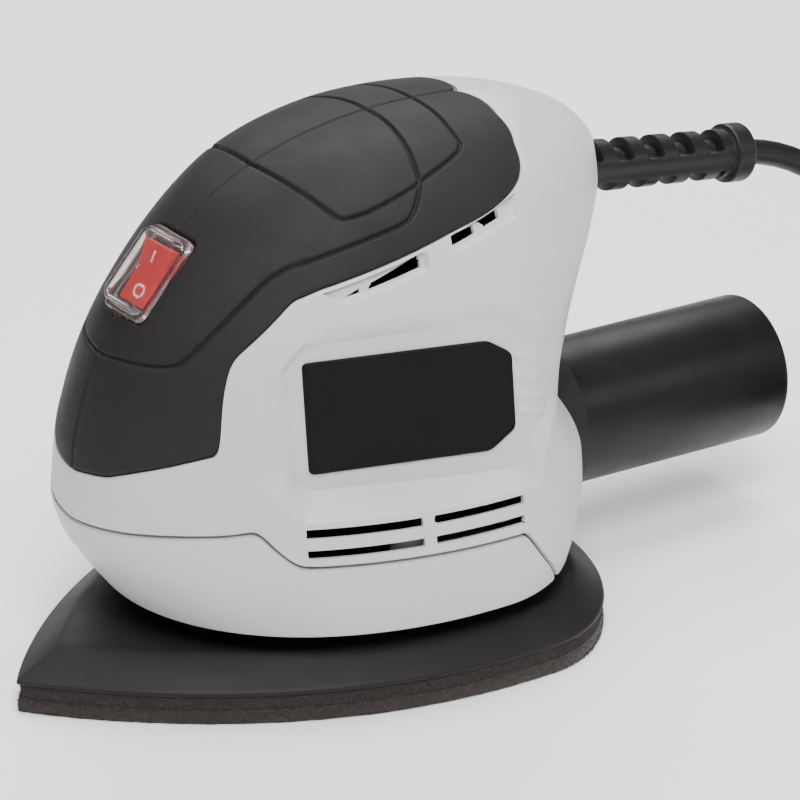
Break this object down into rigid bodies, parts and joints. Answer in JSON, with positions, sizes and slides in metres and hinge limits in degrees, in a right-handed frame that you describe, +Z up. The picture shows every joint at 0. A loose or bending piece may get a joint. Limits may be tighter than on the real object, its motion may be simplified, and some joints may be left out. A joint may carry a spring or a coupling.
{
  "type": "detail mouse sander",
  "caption": "Palm-grip electric detail sander with an iron-shaped bevelled platen, soft top grip, rocker switch under a clear boot and a rear dust tube.",
  "frame": {"origin": "on the sanding face, below the motor's axis", "axes": "+X to the pointed nose, +Y to the left side seen from behind, +Z up"},
  "size_m": [0.2825, 0.1619, 0.114],
  "materials": {
    "housing_grey": "light grey moulded ABS",
    "skirt_grey": "light grey moulded ABS",
    "frame_grey": "plain moulded nylon",
    "grip_rubber": "soft-touch matt",
    "nameplate_black": "smooth blank panel",
    "switch_black": "satin",
    "boot_clear": "clear flexible dust boot",
    "rocker_red": "gloss",
    "terminal_brass": "tinned brass",
    "moulding_black": "fine grain",
    "screw_steel": "zinc plated",
    "leg_rubber": "moulded rubber",
    "lamination_steel": "stacked laminations",
    "winding_copper": "enamelled copper wire",
    "bearing_steel": "ground steel",
    "holder_brass": "pressed brass",
    "brush_carbon": "pressed carbon",
    "spring_steel": "spring wire",
    "capacitor_yellow": "moulded case",
    "block_white": "nylon",
    "wire_blue": "PVC insulation",
    "shaft_steel": "ground steel",
    "commutator_copper": "turned copper bars",
    "fan_nylon": "glass-filled nylon",
    "weight_zinc": "die-cast",
    "hub_aluminium": "die-cast",
    "plate_black": "fine grain",
    "foam_grey": "closed-cell foam",
    "hook_brown": "hook layer",
    "tube_black": "fine grain",
    "relief_rubber": "moulded PVC",
    "cord_rubber": "PVC sheath",
    "tie_black": "hook-and-loop strap",
    "plug_black": "moulded PVC",
    "pin_nickel": "nickel plated brass"
  },
  "bodies": {
    "housing": {"housing_left": "housing_grey", "housing_right": "housing_grey", "base_skirt": "skirt_grey", "base_frame": "frame_grey", "grip_left": "grip_rubber", "grip_right": "grip_rubber", "nameplate_left": "nameplate_black", "nameplate_right": "nameplate_black", "switch_body": "switch_black", "switch_boot": "boot_clear", "switch_terminals": "terminal_brass", "fan_housing": "moulding_black", "base_screws": "screw_steel", "flexible_legs": "leg_rubber", "leg_screws": "screw_steel", "stator_core": "lamination_steel", "field_coils": "winding_copper", "bearing_bridge": "moulding_black", "upper_bearing": "bearing_steel", "lower_bearing": "bearing_steel", "brush_holders": "holder_brass", "carbon_brushes": "brush_carbon", "brush_springs": "spring_steel", "suppressor_capacitor": "capacitor_yellow", "terminal_block": "block_white", "internal_wires": "wire_blue", "strain_relief": "relief_rubber", "cord_clamp": "moulding_black", "cord_clamp_screws": "screw_steel", "cord": "cord_rubber", "cord_coil": "cord_rubber", "coil_tie": "tie_black", "plug_body": "plug_black", "plug_pins": "pin_nickel"},
    "rotor": {"motor_shaft": "shaft_steel", "armature_core": "lamination_steel", "armature_windings": "winding_copper", "commutator": "commutator_copper", "fan": "fan_nylon", "counterweight": "weight_zinc", "platen_bolt": "screw_steel"},
    "platen": {"eccentric_bearing": "bearing_steel", "platen_hub": "hub_aluminium", "hub_screws": "screw_steel", "pad_plate": "plate_black", "pad_foam": "foam_grey", "hook_pad": "hook_brown"},
    "rocker": {"switch_rocker": "rocker_red"},
    "dust_outlet": {"dust_tube": "tube_black"}
  },
  "joints": [
    {"name": "motor_spin", "type": "hinge", "parent": "housing", "child": "rotor", "pos_m": [0, 0, 0.05], "axis": [0, 0, 1], "continuous": true},
    {"name": "platen_orbit", "type": "hinge", "parent": "rotor", "child": "platen", "pos_m": [0.001, 0, 0.018], "axis": [0, 0, 1], "continuous": true},
    {"name": "switch_rocker", "type": "hinge", "parent": "housing", "child": "rocker", "pos_m": [0.0415, 0, 0.08897], "axis": [0, -1, 0], "range_deg": [0, 24]},
    {"name": "dust_tube_pull", "type": "slide", "parent": "housing", "child": "dust_outlet", "axis": [-0.9994, 0, -0.0349], "range_m": [0, 0.02]}
  ],
  "couplings": [
    {"joint": "platen_orbit", "follows": "motor_spin", "ratio": -1}
  ]
}
